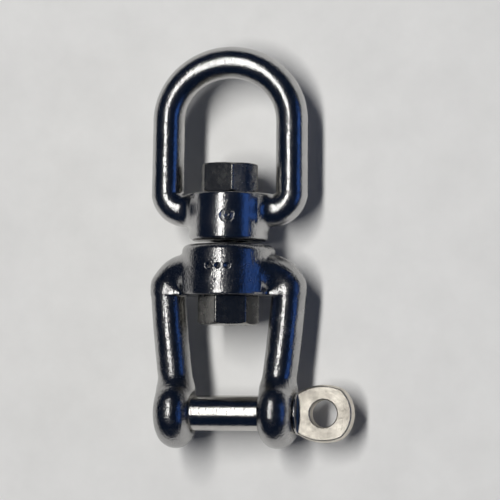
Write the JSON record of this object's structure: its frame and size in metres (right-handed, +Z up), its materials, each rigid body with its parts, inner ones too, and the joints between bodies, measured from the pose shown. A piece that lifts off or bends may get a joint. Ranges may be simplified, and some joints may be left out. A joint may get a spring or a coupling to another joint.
{
  "type": "anchor swivel",
  "caption": "Eye-and-jaw anchor swivel in polished stainless steel: D-shaped eye and forked jaw turning on a common bolt, with a screw clevis pin across the jaw.",
  "frame": {"origin": "middle of the clevis pin's plain shank, midway between the jaw's ears", "axes": "+X along the clevis pin towards its flat head, +Y along the swivel bolt towards the eye, +Z square to the plane of the eye and jaw; the fitting lies flat with +Z up"},
  "size_m": [0.0475, 0.0907, 0.021],
  "materials": {
    "polished_forging": "mirror-polished stainless steel forging",
    "turned_pin": "polished stainless pin with a rougher pressed head",
    "fastener": "plain stainless hexagon fastener with light wear"
  },
  "bodies": {
    "jaw": {"jaw": "polished_forging"},
    "bolt": {"swivel_bolt": "fastener", "swivel_nut": "fastener"},
    "eye": {"eye": "polished_forging"},
    "pin": {"clevis_pin": "turned_pin"}
  },
  "joints": [
    {"name": "jaw_swivel", "type": "hinge", "parent": "jaw", "child": "bolt", "pos_m": [0, 0.03205, 0], "axis": [0, 1, 0], "continuous": true},
    {"name": "eye_swivel", "type": "hinge", "parent": "bolt", "child": "eye", "pos_m": [0, 0.04403, 0], "axis": [0, 1, 0], "continuous": true},
    {"name": "pin_slide", "type": "slide", "parent": "jaw", "child": "pin", "axis": [1, 0, 0], "range_m": [0, 0.045]}
  ]
}
